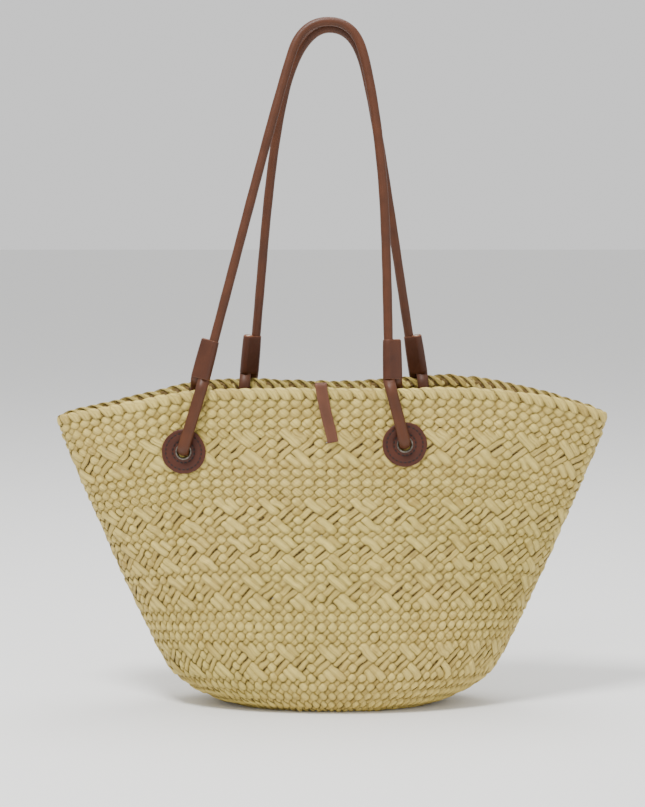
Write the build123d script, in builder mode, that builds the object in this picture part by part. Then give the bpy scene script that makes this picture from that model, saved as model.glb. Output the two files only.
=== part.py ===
from build123d import *
import os
from math import asin, cos, degrees, pi, radians, sin, sqrt, tan

# A straw beach bag with rolled leather handles, in millimetres.
# X runs along the width, -Y is the front, +Z is up, and the origin is under the middle of the base.

# Basket: a plaited wall with a lens-shaped mouth
RIM_HEIGHT = 297.0  # top edge at the middle of the mouth
RIM_END_DROP = 28.0  # how much lower the mouth's two ends are
RIM_LEVEL_HALF = 100.0  # half of the level stretch of the top edge
TOP_HALF_WIDTH = 250.0  # at the mouth's ends
FOOT_HALF_WIDTH = 135.5  # where the straight flare of the ends would meet the floor
MOUTH_TUCK = 3.3  # how far the ends stand back from that flare at the mouth
TUCK_HEIGHT = 29.0  # height of the stretch that stands back
SIDE_BOW = 5.0  # how far the ends bow out halfway up, beyond the straight flare
RIM_HALF_DEPTH = 42.0
BELLY_HALF_DEPTH = 60.0
BELLY_HEIGHT = 60.0  # above this the belly narrows to the rim
CORNER_HEIGHT = 50.0  # height of the rounding from base to wall
CORNER_CUT_X = 45.0  # how far the base's edge stands in from the flare, along X
CORNER_CUT_Y = 16.0  # and along Y
WALL = 5.0
FLOOR = 5.0

# Rim braid
BRAID_HEIGHT = 9.5
BRAID_PROUD = 1.2  # beyond the wall, outside and inside

# Leather patches, their eyelets and stitches
PATCH_RADIUS = 20.0
PATCH_THICKNESS = 2.0
PATCH_CLEARANCE = 0.3  # under the flat patch, over the curved wall
EYELET_CLEARANCE = 1.4  # radial, around the handle tube
EYELET_WALL = 0.5
FLANGE_WIDTH = 1.3
FLANGE_THICKNESS = 0.7
STITCH_LENGTH = 2.4
STITCH_WIDTH = 0.7
STITCH_PROUD = 0.4
STITCH_GAP = 1.1
OUTER_STITCH_INSET = 4.0  # from the patch's edge
INNER_STITCH_GAP = 1.4  # from the eyelet's flange

# Handles: rolled leather over rope
TUBE_RADIUS = 4.2
COVER_THICKNESS = 1.1
STRAND_GAP = 0.3  # between the two strands in a sleeve
HANDLE_GAP = 1.0  # between the two handles where they meet
CROWN_RADIUS = 26.0  # bends each side of the top
LEG_RADIUS = 120.0  # gentle bends of the legs
SLEEVE_LENGTH = 35.0
SLEEVE_WALL = 1.1
SLEEVE_FIT = 0.7  # across the bore, so that the bent loops clear it
SLEEVE_LIFT = 8.8  # sleeve's lower end, above the rim
LOOP_DROP = 3.2  # below the sleeve, the corner of each loop's first bend
SLEEVE_HOLD = 6.0  # stretch of each loop that is inside the sleeve
SLEEVE_TWIST = 32.0  # degrees between the sleeve's width and the bag's
END_INSET = 1.0  # returning end's cut face, below the sleeve's upper end
RIM_CROSSING = 2.0  # loops stand clear of the braid from this far above the rim
LOOP_GAP = TUBE_RADIUS / 6  # between a loop and what it lies along
JOINT_GAP = 0.35  # where a loop meets the stiff end of its handle
LOOP_BEND = 6.5  # bends through the eyelet
RIM_BEND = 12.0  # bends at the rim
SLEEVE_BEND = 5.6  # bends just below a sleeve

# Legs as (x, height above the rim), from the left sleeve over the top to the right sleeve
FRONT_LEGS = [(-116, 0), (-44, 275), (-26, 326), (20, 326), (35, 272), (46, 184), (49, 104), (51, 0)]
BACK_LEGS = [(-74, 0), (-52, 240), (-24, 321), (20, 321), (38, 255), (78, 0)]

# Anchors as (x, height of the eyelet)
ANCHORS = {
    "front_left": (-133, RIM_HEIGHT - 60),
    "front_right": (65, RIM_HEIGHT - 53),
    "back_left": (-86, RIM_HEIGHT - 56),
    "back_right": (92, RIM_HEIGHT - 57),
}

# Closure tie: a flat strap over the front rim
TIE_X = -6.0
TIE_WIDTH = 10.5
TIE_THICKNESS = 1.6
TIE_TAIL = 52.0
TIE_INSIDE = 26.0  # sewn run inside the wall
TIE_GAP = 0.4

MOUTH_END_HEIGHT = RIM_HEIGHT - RIM_END_DROP
FLARE = (TOP_HALF_WIDTH + MOUTH_TUCK - FOOT_HALF_WIDTH) / MOUTH_END_HEIGHT
EYELET_HOLE = TUBE_RADIUS + EYELET_CLEARANCE
BARREL_RADIUS = EYELET_HOLE + EYELET_WALL
FLANGE_RADIUS = BARREL_RADIUS + FLANGE_WIDTH
CORE_RADIUS = TUBE_RADIUS - COVER_THICKNESS
STRAND_SPACING = 2 * TUBE_RADIUS + STRAND_GAP
FAR = 2 * TOP_HALF_WIDTH

os.makedirs("parts", exist_ok=True)


def save(piece, name):
    """Label a finished piece and write it."""
    piece.part.label = name
    export_step(piece.part, f"parts/{name}.step")


def half_width(z):
    """Half of the basket's outer width at height z."""
    corner = CORNER_CUT_X * max(0.0, 1 - z / CORNER_HEIGHT) ** 3
    above = max(0.0, z - (MOUTH_END_HEIGHT - TUCK_HEIGHT))
    bow = SIDE_BOW * sin(pi * z / RIM_HEIGHT)
    return FOOT_HALF_WIDTH + FLARE * z + bow - corner - MOUTH_TUCK * (above / TUCK_HEIGHT) ** 2


def half_depth(z):
    """Half of the basket's outer depth at height z."""
    corner = CORNER_CUT_Y * max(0.0, 1 - z / CORNER_HEIGHT) ** 3
    rise = min(1.0, max(0.0, (z - BELLY_HEIGHT) / (RIM_HEIGHT - BELLY_HEIGHT)))
    narrowing = rise * rise * (3 - 2 * rise)
    return BELLY_HALF_DEPTH - corner - (BELLY_HALF_DEPTH - RIM_HALF_DEPTH) * narrowing


def wall_depth(x, z):
    """Distance of the outer surface from the middle plane."""
    return half_depth(z) * sqrt(1 - (x / half_width(z)) ** 2)


def wall_plane(x, z, side):
    """Plane on the outer surface with its normal pointing out; side is -1 in front and 1 behind."""
    step = 1.0
    across = Vector(2 * step, side * (wall_depth(x + step, z) - wall_depth(x - step, z)), 0)
    along = Vector(0, side * (wall_depth(x, z + step) - wall_depth(x, z - step)), 2 * step)
    normal = across.cross(along) if side < 0 else along.cross(across)
    return Plane(origin=(x, side * wall_depth(x, z), z), x_dir=across, z_dir=normal)


def area_above_rim(lowered):
    """Sketch of everything above the curved top edge, lowered by a given amount."""
    level = RIM_HEIGHT - lowered
    run = TOP_HALF_WIDTH - RIM_LEVEL_HALF
    radius = (run**2 + RIM_END_DROP**2) / (2 * RIM_END_DROP)
    turn = degrees(asin(1.2 * run / radius))
    with BuildSketch(Plane.XZ) as area:
        with BuildLine():
            Line((-RIM_LEVEL_HALF, level), (RIM_LEVEL_HALF, level))
            right = CenterArc((RIM_LEVEL_HALF, level - radius), radius, 90, -turn)
            left = CenterArc((-RIM_LEVEL_HALF, level - radius), radius, 90, turn)
            Polyline(right @ 1, (FAR, level), (FAR, FAR), (-FAR, FAR), (-FAR, level), left @ 1)
        make_face()
    return area.sketch


def heights(low, high, count):
    """Section heights, closer together near the low end."""
    return [low + (high - low) * (i / (count - 1)) ** 1.6 for i in range(count)]


def loft_rings(low, high, count, outside):
    """Solid form through ellipses that stand outside the wall's outer surface by a given amount."""
    with BuildPart() as form:
        for z in heights(low, high, count):
            with BuildSketch(Plane.XY.offset(z)):
                Ellipse(half_width(z) + outside, half_depth(z) + outside)
        loft()
    return form.part


ANCHOR_PLANES = {
    name: wall_plane(x, z, -1 if name.startswith("front") else 1) for name, (x, z) in ANCHORS.items()
}

# Basket shell: walls and base in one continuous plait, with a hole for each eyelet
FORM_TOP = RIM_HEIGHT + BRAID_HEIGHT
with BuildPart() as basket_shell:
    add(loft_rings(0, FORM_TOP, 12, 0))
    add(loft_rings(FLOOR, FORM_TOP, 12, -WALL), mode=Mode.SUBTRACT)
    extrude(area_above_rim(BRAID_HEIGHT), amount=FAR, both=True, mode=Mode.SUBTRACT)
    for plane in ANCHOR_PLANES.values():
        with BuildSketch(plane):
            Circle(BARREL_RADIUS)
        extrude(amount=2 * WALL, both=True, mode=Mode.SUBTRACT)
save(basket_shell, "basket_shell")

# Rim braid: the strands' ends folded and braided along the top edge
with BuildPart() as rim_braid:
    add(loft_rings(MOUTH_END_HEIGHT - 3 * BRAID_HEIGHT, FORM_TOP, 5, BRAID_PROUD))
    add(
        loft_rings(MOUTH_END_HEIGHT - 3 * BRAID_HEIGHT, FORM_TOP, 5, -WALL - BRAID_PROUD),
        mode=Mode.SUBTRACT,
    )
    extrude(area_above_rim(BRAID_HEIGHT), amount=FAR, both=True, mode=Mode.INTERSECT)
    extrude(area_above_rim(0), amount=FAR, both=True, mode=Mode.SUBTRACT)
save(rim_braid, "rim_braid")

# Levels along each anchor's normal, counted outwards from the wall's outer surface
OUTER_SEAT = PATCH_CLEARANCE
OUTER_TOP = OUTER_SEAT + PATCH_THICKNESS
INNER_SEAT = -WALL - PATCH_CLEARANCE
INNER_TOP = INNER_SEAT - PATCH_THICKNESS


def make_patch(name, plane, seat):
    """Round leather patch, punched for the eyelet."""
    with BuildPart() as patch:
        with BuildSketch(plane.offset(seat)):
            Circle(PATCH_RADIUS)
            Circle(BARREL_RADIUS, mode=Mode.SUBTRACT)
        extrude(amount=PATCH_THICKNESS)
        fillet(patch.edges().filter_by(GeomType.CIRCLE).sort_by(SortBy.RADIUS)[-1], 0.6)
    save(patch, name)


def make_eyelet(name, plane):
    """Metal barrel through patch, wall and backing, with its flange on the outer patch."""
    with BuildPart() as eyelet:
        with BuildSketch(plane.offset(INNER_TOP - FLANGE_THICKNESS)):
            Circle(BARREL_RADIUS)
            Circle(EYELET_HOLE, mode=Mode.SUBTRACT)
        extrude(amount=OUTER_TOP - INNER_TOP + 2 * FLANGE_THICKNESS)
        with BuildSketch(plane.offset(OUTER_TOP)):
            Circle(FLANGE_RADIUS)
            Circle(EYELET_HOLE, mode=Mode.SUBTRACT)
        extrude(amount=FLANGE_THICKNESS)
    save(eyelet, name)


def make_washer(name, plane):
    """Ring on the inner patch that the barrel's end is rolled over."""
    with BuildPart() as washer:
        with BuildSketch(plane.offset(INNER_TOP - FLANGE_THICKNESS)):
            Circle(FLANGE_RADIUS)
            Circle(BARREL_RADIUS, mode=Mode.SUBTRACT)
        extrude(amount=FLANGE_THICKNESS)
    save(washer, name)


def make_stitching(name, plane):
    """Two rings of thread stitches on the outer patch and on the inner one."""
    with BuildPart() as stitching:
        for level in (OUTER_TOP, INNER_TOP - STITCH_PROUD):
            for radius in (PATCH_RADIUS - OUTER_STITCH_INSET, FLANGE_RADIUS + INNER_STITCH_GAP):
                count = int(2 * 3.1416 * radius / (STITCH_LENGTH + STITCH_GAP))
                with BuildSketch(plane.offset(level)):
                    with PolarLocations(radius, count):
                        SlotOverall(STITCH_LENGTH, STITCH_WIDTH, rotation=90)
                extrude(amount=STITCH_PROUD)
    save(stitching, name)


for anchor, plane in ANCHOR_PLANES.items():
    make_patch(f"{anchor}_outer_patch", plane, OUTER_SEAT)
    make_patch(f"{anchor}_inner_patch", plane, INNER_TOP)
    make_eyelet(f"{anchor}_eyelet", plane)
    make_washer(f"{anchor}_eyelet_washer", plane)
    make_stitching(f"{anchor}_stitching", plane)


# Handles. Each lies in a plane that leans in over the mouth until the two meet at the top.
def handle_plane(side, legs):
    """Plane of one handle: X along the width, local Y up along the leaning legs."""
    sleeve_x = (abs(legs[0][0]) + abs(legs[-1][0])) / 2
    foot = wall_depth(sleeve_x, RIM_HEIGHT) - WALL / 2 + STRAND_SPACING * sin(radians(SLEEVE_TWIST)) / 2
    top = TUBE_RADIUS + HANDLE_GAP / 2
    rise = max(height for _, height in legs)
    lean = asin((foot - top) / rise)
    normal = (0, -cos(lean), -side * sin(lean))
    return Plane(origin=(0, side * foot, RIM_HEIGHT), x_dir=(1, 0, 0), z_dir=normal)


def arc_radii(route, largest):
    """Radius of each corner's arc: as large as its shorter run allows, up to a limit."""
    radii = []
    for before, corner, after, limit in zip(route, route[1:], route[2:], largest):
        arriving = corner - before
        leaving = after - corner
        shorter = min(arriving.length, leaving.length)
        half_turn = radians(arriving.get_angle(leaving) / 2)
        radii.append(min(limit, 0.45 * shorter / tan(half_turn)))
    return radii


def round_bar(route, radii, outer, inner):
    """Round solid or tube along straight runs joined by arcs."""
    with BuildPart() as bar:
        with BuildLine():
            path = FilletPolyline(*route, radius=radii)
        with BuildSketch(Plane(origin=path @ 0, z_dir=path % 0)):
            Circle(outer)
        sweep()
        if inner > 0:
            with BuildLine():
                FilletPolyline(*route, radius=radii)
            with BuildSketch(Plane(origin=path @ 0, z_dir=path % 0)):
                Circle(inner)
            sweep(mode=Mode.SUBTRACT)
    return bar.part


def make_handle(name, side, legs, anchors):
    """One handle: its cover, its rope core, two sleeves, and the two loops down to the eyelets."""
    plane = handle_plane(side, legs)
    twist = radians(SLEEVE_TWIST)
    inward = plane.z_dir * side
    feet = []
    stubs = []
    for foot, knee, outward, anchor in (
        (legs[0], legs[1], -1, anchors[0]),
        (legs[-1], legs[-2], 1, anchors[1]),
    ):
        low = plane.from_local_coords(Vector(*foot))
        up = (plane.from_local_coords(Vector(*knee)) - low).normalized()
        beside = up.cross(plane.z_dir) * outward
        across = beside * cos(twist) + inward * sin(twist)
        sleeve_low = low + up * SLEEVE_LIFT
        held = low + up * (SLEEVE_LIFT + SLEEVE_HOLD)
        feet.append(held)
        returning = held + across * STRAND_SPACING
        stubs.append((returning, up))
        make_sleeve(f"{anchor}_sleeve", sleeve_low + across * STRAND_SPACING / 2, across, up)
        make_loop(anchor, side, sleeve_low, across, up)
    rise = max(height for _, height in legs)
    limits = [CROWN_RADIUS if height == rise else LEG_RADIUS for _, height in legs[1:-1]]
    route = [feet[0], *[plane.from_local_coords(Vector(*point)) for point in legs[1:-1]], feet[1]]
    radii = arc_radii(route, limits)
    for part_name, outer, inner in (("cover", TUBE_RADIUS, CORE_RADIUS), ("core", CORE_RADIUS, 0)):
        with BuildPart() as handle:
            add(round_bar(route, radii, outer, inner))
            for start, up in stubs:
                with BuildSketch(Plane(origin=start, z_dir=up)):
                    Circle(outer)
                    if inner > 0:
                        Circle(inner, mode=Mode.SUBTRACT)
                extrude(amount=SLEEVE_LENGTH - SLEEVE_HOLD - END_INSET)
        save(handle, f"{name}_{part_name}")


def make_sleeve(name, origin, across, up):
    """Leather sleeve around a leg and the tube's returning end, open at both ends."""
    bore = 2 * TUBE_RADIUS + SLEEVE_FIT
    with BuildPart() as sleeve:
        with BuildSketch(Plane(origin=origin, x_dir=across, z_dir=up)):
            SlotCenterToCenter(STRAND_SPACING, bore + 2 * SLEEVE_WALL)
            SlotCenterToCenter(STRAND_SPACING, bore, mode=Mode.SUBTRACT)
        extrude(amount=SLEEVE_LENGTH)
    save(sleeve, name)


def make_loop(anchor, side, sleeve_low, across, up):
    """Loop from inside the sleeve, down outside the wall, through the eyelet and up again inside."""
    eyelet = ANCHOR_PLANES[anchor]
    clear = TUBE_RADIUS + LOOP_GAP
    returning = sleeve_low + across * STRAND_SPACING
    held = up * (SLEEVE_HOLD - JOINT_GAP)
    below = up * -LOOP_DROP
    crossings = []
    for strand, beyond in ((sleeve_low, BRAID_PROUD + clear), (returning, -WALL - BRAID_PROUD - clear)):
        towards = 0.1 * (eyelet.origin.X - strand.X)
        rim = wall_plane(strand.X + towards, RIM_HEIGHT + RIM_CROSSING, side)
        crossings.append(rim.origin + rim.z_dir * beyond)
    route = [
        sleeve_low + held,
        sleeve_low + below,
        crossings[0],
        eyelet.origin + eyelet.z_dir * (OUTER_TOP + FLANGE_THICKNESS + clear),
        eyelet.origin + eyelet.z_dir * (INNER_TOP - FLANGE_THICKNESS - clear),
        crossings[1],
        returning + below,
        returning + held,
    ]
    radii = arc_radii(route, [SLEEVE_BEND, RIM_BEND, LOOP_BEND, LOOP_BEND, RIM_BEND, SLEEVE_BEND])
    for part_name, outer, inner in (("cover", TUBE_RADIUS, CORE_RADIUS), ("core", CORE_RADIUS, 0)):
        with BuildPart() as loop:
            add(round_bar(route, radii, outer, inner))
        save(loop, f"{anchor}_loop_{part_name}")


make_handle("front_handle", -1, FRONT_LEGS, ("front_left", "front_right"))
make_handle("back_handle", 1, BACK_LEGS, ("back_left", "back_right"))

# Closure tie. Its inner end is sewn inside the wall and passes over the rim; its tail hangs in front.
TIE_MIDDLE = TIE_THICKNESS / 2
RIM_OUTSIDE = wall_depth(TIE_X, RIM_HEIGHT) + BRAID_PROUD
RIM_INSIDE = RIM_OUTSIDE - WALL - 2 * BRAID_PROUD
TIE_TOP = RIM_HEIGHT + TIE_GAP + TIE_MIDDLE
TAIL_Y = -(RIM_OUTSIDE + TIE_GAP + TIE_MIDDLE)
ANCHOR_Y = -(RIM_INSIDE - TIE_GAP - TIE_MIDDLE)
ANCHOR_FRONT_Y = TAIL_Y + TIE_THICKNESS + JOINT_GAP


def tie_strip(route, radii):
    """Flat strap along the middle of its thickness, given as a path in the YZ plane."""
    with BuildPart() as strip:
        with BuildSketch(Plane.YZ.offset(TIE_X - TIE_WIDTH / 2)):
            with BuildLine():
                FilletPolyline(*route, radius=radii)
                offset(amount=TIE_MIDDLE, side=Side.BOTH, mode=Mode.REPLACE)
            make_face()
        extrude(amount=TIE_WIDTH)
    return strip


anchor_route = [(ANCHOR_Y, RIM_HEIGHT - TIE_INSIDE), (ANCHOR_Y, TIE_TOP), (ANCHOR_FRONT_Y, TIE_TOP)]
tie_anchor = tie_strip(anchor_route, [2.0])
save(tie_anchor, "tie_anchor")

TAIL_END = TIE_TOP - TIE_TAIL
TAIL_END_Y = -(wall_depth(TIE_X, TAIL_END) + TIE_GAP + TIE_MIDDLE + BRAID_PROUD)
tail_route = [(TAIL_Y, TIE_TOP), (TAIL_Y, RIM_HEIGHT - 1.5 * BRAID_HEIGHT), (TAIL_END_Y, TAIL_END)]
tie_tail = tie_strip(tail_route, [20.0])
save(tie_tail, "tie_tail")

with BuildPart() as tie_stitches:
    for row in (0.25, 0.75):
        with BuildSketch(Plane.XZ.offset(-ANCHOR_Y - TIE_MIDDLE - STITCH_PROUD)):
            with Locations((TIE_X, RIM_HEIGHT - BRAID_HEIGHT - (TIE_INSIDE - BRAID_HEIGHT) * row)):
                with GridLocations(STITCH_LENGTH + STITCH_GAP, 1, 2, 1):
                    SlotOverall(STITCH_LENGTH, STITCH_WIDTH)
        extrude(amount=STITCH_PROUD)
save(tie_stitches, "tie_stitches")
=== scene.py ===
import math

import bpy
import numpy as np
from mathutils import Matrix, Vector


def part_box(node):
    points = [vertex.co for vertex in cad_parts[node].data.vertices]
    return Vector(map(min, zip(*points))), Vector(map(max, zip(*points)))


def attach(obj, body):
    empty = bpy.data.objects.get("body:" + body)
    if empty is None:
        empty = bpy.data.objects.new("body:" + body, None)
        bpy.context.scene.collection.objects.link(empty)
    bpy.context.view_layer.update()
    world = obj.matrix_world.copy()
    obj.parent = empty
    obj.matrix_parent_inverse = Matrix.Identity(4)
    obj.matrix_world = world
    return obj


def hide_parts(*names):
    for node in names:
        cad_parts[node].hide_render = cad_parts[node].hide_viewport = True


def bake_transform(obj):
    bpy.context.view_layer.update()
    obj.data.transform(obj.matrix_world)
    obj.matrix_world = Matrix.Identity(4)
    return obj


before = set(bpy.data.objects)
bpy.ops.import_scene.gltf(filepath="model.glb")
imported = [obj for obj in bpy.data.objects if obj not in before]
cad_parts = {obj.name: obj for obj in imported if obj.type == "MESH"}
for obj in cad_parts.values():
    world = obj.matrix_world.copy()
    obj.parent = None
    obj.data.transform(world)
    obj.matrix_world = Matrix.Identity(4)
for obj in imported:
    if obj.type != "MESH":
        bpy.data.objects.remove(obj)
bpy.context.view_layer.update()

MM = 0.001
TURN = 2 * np.pi
rng = np.random.default_rng(7)

# ---------------------------------------------------------------- sizes, in millimetres
# Basket form, as in the CAD model
RIM_HEIGHT = 297.0
RIM_END_DROP = 28.0
RIM_LEVEL_HALF = 100.0
TOP_HALF_WIDTH = 250.0
FOOT_HALF_WIDTH = 135.5
MOUTH_TUCK = 3.3
TUCK_HEIGHT = 29.0
SIDE_BOW = 5.0
RIM_HALF_DEPTH = 42.0
BELLY_HALF_DEPTH = 60.0
BELLY_HEIGHT = 60.0
CORNER_HEIGHT = 50.0
CORNER_CUT_X = 45.0
CORNER_CUT_Y = 16.0
WALL = 5.0
FLARE = (TOP_HALF_WIDTH + MOUTH_TUCK - FOOT_HALF_WIDTH) / (RIM_HEIGHT - RIM_END_DROP)

# This bag's own soft form, beyond the CAD model's even one
SIDE_SWELL = 0.7         # the ends bulge this much
DENT = 1.0               # slow unevenness of the wall
RIM_DIP = 7.5            # the top edge sags towards its left end
SOLE = 2.5               # middle of the plait above the floor, where it turns under
SOLE_TUCK = 1.4          # how fast it runs in there
END_CROWD = 0.32         # how much the strands crowd towards the ends of the base

# Plait: wide strands run one way, narrow ones the other
STRANDS = 96             # each way
GROUPS = 3               # meshes for each way
FIRST_ROW = 13.0         # first bead row, below the top edge
ROW = 4.42               # drop from one half-row to the next
ROW_WAVE = 1.6           # how far the rows wander up and down
ROW_WAVE_ROWS = 50
FIRST_CROSSING = -2      # under the rim braid
LAST_CROSSING = 66       # under the base
STEPS = 4                # mesh steps for each crossing
SECTION = 8              # points round a strand
OVER = 1.15              # how far a strand stands out where it is over, and in where it is under
KINDS = {
    # over is a share of OVER and thick is half of the thickness. Reach is the half-width in strand
    # spacings where over, its change for each neighbour that is over too, and the half-width where under
    "wide": {"points": SECTION + 2, "over": 1.0, "thick": 1.3, "reach": (0.68, -0.05, 0.42)},
    "narrow": {"points": SECTION, "over": 0.72, "thick": 0.95, "reach": (0.40, 0.055, 0.38)},
}
WOBBLE = 0.065           # spread of a strand's place, in strand spacings
UNEVEN = 0.13            # spread of its thickness
PLEAT = 0.23             # lengthwise folds, as a share of its thickness
TONE_SPREAD = 0.2

# Patterned bands of the plait: the first half-row of each, and the strand that it starts at
MOTIFS = ((6, 1), (20, 0), (28, -3), (36, -6), (50, 2))
MOTIF_ROWS = 6

# Mat that closes the base
MAT_SPACING = 6.6
MAT_INSET = 7.5          # inside the edge of the base
MAT_LEAN = math.radians(42)
MAT_STEPS = 90
MAT_LIFT = 0.7           # how far a strip goes up and down
MAT_THICK = 0.75         # half of a strip's thickness

# Rim braid
LEAF_STEPS = 17
LEAF_POINTS = 12
LEAF_REACH = 2.2         # each side of the wall's middle
LEAF_FOOT = 10.2         # where a leaf starts and ends, below the top edge
LEAF_RISE = 9.4          # from there to its fold
LEAF_SLANT = 2.5         # drop across a leaf, for each strand spacing

# Handles and their anchors, as in the CAD model, but for sleeves that sit a little lower and tighter
TUBE = 4.2
COVER = 1.1
SQUEEZE = 0.5            # how much a sleeve presses its two strands together
SPACING = 2 * TUBE - SQUEEZE
HANDLE_GAP = 1.0
SLEEVE_LENGTH = 35.0
SLEEVE_WALL = 0.9
SLEEVE_FIT = 0.1
SLEEVE_LIFT = 5.4
SLEEVE_HOLD = 6.0
TWIST = math.radians(32.0)
LOOP_GAP = 0.7
LOOP_WIDE = 1.24         # the loops are pressed this much wider than round
BRAID_PROUD = 1.2
FRONT_LEGS = [(-116, 0), (-44, 275), (-26, 326), (20, 326), (35, 272), (46, 184), (49, 104), (51, 0)]
BACK_LEGS = [(-74, 0), (-52, 240), (-24, 321), (20, 321), (38, 255), (78, 0)]
ANCHORS = {
    "front_left": (-133, RIM_HEIGHT - 60),
    "front_right": (65, RIM_HEIGHT - 53),
    "back_left": (-86, RIM_HEIGHT - 56),
    "back_right": (92, RIM_HEIGHT - 57),
}
TUBE_POINTS = 20         # round a tube

# Patches, stitches and eyelets
PATCH_RADIUS = 20.0
PATCH_LOW = 0.3          # back of the patch, off the wall
PATCH_TOP = 2.3          # face of the patch, off the wall
PATCH_SEGMENTS = 72
GROOVE_DEPTH = 0.55
STITCH_RINGS = ((16.2, 26), (9.9, 16))   # radius and number of stitches
STITCH_HALF = 1.25       # half of a stitch's length
STITCH_RADIUS = 0.58
STITCH_HIGH = 0.45
STITCH_SINK = 0.25       # into its groove
EYELET_HOLE = 5.6
EYELET_WALL = 0.5
EYELET_SEGMENTS = 48
FLANGE_RADIUS = 7.4
FLANGE_RISE = 0.85

# Closure tie
TIE_HALF_WIDTH = 5.1
TIE_HALF_THICK = 0.75
TIE_SHIFT = -4.0         # the strap lies this far to the left of the CAD model's where it crosses the rim


# ---------------------------------------------------------------- basket form
def half_width(z):
    """Half of the outer width at a height."""
    corner = CORNER_CUT_X * np.clip(1 - z / CORNER_HEIGHT, 0, None) ** 3
    above = np.clip(z - (RIM_HEIGHT - RIM_END_DROP - TUCK_HEIGHT), 0, None)
    bow = SIDE_BOW * np.sin(np.pi * z / RIM_HEIGHT)
    return FOOT_HALF_WIDTH + FLARE * z + bow - corner - MOUTH_TUCK * (above / TUCK_HEIGHT) ** 2


def half_depth(z):
    """Half of the outer depth at a height."""
    corner = CORNER_CUT_Y * np.clip(1 - z / CORNER_HEIGHT, 0, None) ** 3
    rise = np.clip((z - BELLY_HEIGHT) / (RIM_HEIGHT - BELLY_HEIGHT), 0, 1)
    return BELLY_HALF_DEPTH - corner - (BELLY_HALF_DEPTH - RIM_HALF_DEPTH) * rise * rise * (3 - 2 * rise)


def wall_depth(x, z):
    """How far the even form's outer wall stands from the middle plane."""
    return half_depth(z) * np.sqrt(np.clip(1 - (x / half_width(z)) ** 2, 0.0001, None))


def rim_height(x):
    """Height of the curved top edge."""
    run = TOP_HALF_WIDTH - RIM_LEVEL_HALF
    radius = (run**2 + RIM_END_DROP**2) / (2 * RIM_END_DROP)
    beyond = np.clip(np.abs(x) - RIM_LEVEL_HALF, 0, None)
    return RIM_HEIGHT - (radius - np.sqrt(radius**2 - beyond**2))


def rim_sway(x, back):
    """How far this bag's soft rim stands off that edge: it dips towards the left end and in the middle."""
    left = -RIM_DIP * np.exp(-(((x + 190) / 62) ** 2))
    front = -3.0 * np.exp(-((x / 190) ** 4))
    behind = 3.0 * np.exp(-(((x - 108) / 45) ** 2)) - 3.6 * np.exp(-((x / 60) ** 2)) + 0.8
    return left + front * (1 - back) + behind * back


ARC_RATIOS = np.linspace(0.05, 0.95, 46)
ARC_STEPS = 720


def arc_table():
    """Ellipse angle for (depth over width, fraction of the way round), so that steps are even."""
    angles = np.linspace(0, TURN, 2 * ARC_STEPS + 1)
    fractions = np.linspace(0, 1, ARC_STEPS + 1)
    table = []
    for ratio in ARC_RATIOS:
        speed = np.sqrt(np.cos(angles) ** 2 + (ratio * np.sin(angles)) ** 2)
        length = np.concatenate([[0], np.cumsum((speed[1:] + speed[:-1]) / 2)])
        table.append(np.interp(fractions, length / length[-1], angles))
    return np.array(table)


ARC = arc_table()


def ellipse_angle(ratio, fraction):
    """Angle from the front's middle, towards +X, on an ellipse of that depth over width."""
    turns = np.floor(fraction)
    ratio_step = ARC_RATIOS[1] - ARC_RATIOS[0]
    i = np.clip((ratio - ARC_RATIOS[0]) / ratio_step, 0, len(ARC_RATIOS) - 1.001)
    j = np.clip((fraction - turns) * ARC_STEPS, 0, ARC_STEPS - 0.001)
    i0 = i.astype(int)
    j0 = j.astype(int)
    di = i - i0
    dj = j - j0
    low = ARC[i0, j0] * (1 - dj) + ARC[i0, j0 + 1] * dj
    high = ARC[i0 + 1, j0] * (1 - dj) + ARC[i0 + 1, j0 + 1] * dj
    return low * (1 - di) + high * di + TURN * turns


def rim_x(around):
    """X of the top edge at a fraction of the way round."""
    ratio = np.full_like(around, RIM_HALF_DEPTH / TOP_HALF_WIDTH)
    return TOP_HALF_WIDTH * np.sin(ellipse_angle(ratio, around))


def wall_point(around, drop, out):
    """Point of the plaited wall, in X, Y and Z.

    It is a fraction of the way round and a drop below the top edge, and out is from the outer surface.
    A drop of more than the wall's height runs on under the base.
    """
    x = rim_x(around)
    back = 0.5 - 0.5 * np.cos(TURN * around)
    top = rim_height(x) + rim_sway(x, back * back * (3 - 2 * back))
    z = top * (1 - drop / RIM_HEIGHT)
    under = np.clip(-z, 0, None)
    z = np.clip(z, 0, None)
    width = half_width(z) + SIDE_SWELL - under * SOLE_TUCK
    depth = half_depth(z) - under * SOLE_TUCK
    z = 0.5 * (z + np.sqrt(z * z + 4 * SOLE**2))
    crowd = END_CROWD * np.clip(1 - z / RIM_HEIGHT, 0, 1) ** 1.7
    even = around + crowd * np.sin(2 * TURN * around) / (2 * TURN)
    angle = ellipse_angle(depth / width, even)
    dent = DENT * np.sin(angle * 3 + z * 0.021) * np.sin(z * 0.017 + angle)
    x = (width + out + 0.6 * dent) * np.sin(angle)
    y = -(depth + out + dent) * np.cos(angle)
    return np.stack([x, y, z], axis=-1)


def wall_frame(around, drop, out):
    """Point and outward normal of the plaited wall."""
    aside = 0.002
    below = 0.8
    point = wall_point(around, drop, out)
    across = wall_point(around + aside, drop, out) - wall_point(around - aside, drop, out)
    down = wall_point(around, drop + below, out) - wall_point(around, drop - below, out)
    normal = np.cross(down, across)
    normal = normal / np.maximum(np.linalg.norm(normal, axis=-1, keepdims=True), 1e-9)
    return point, normal


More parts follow.
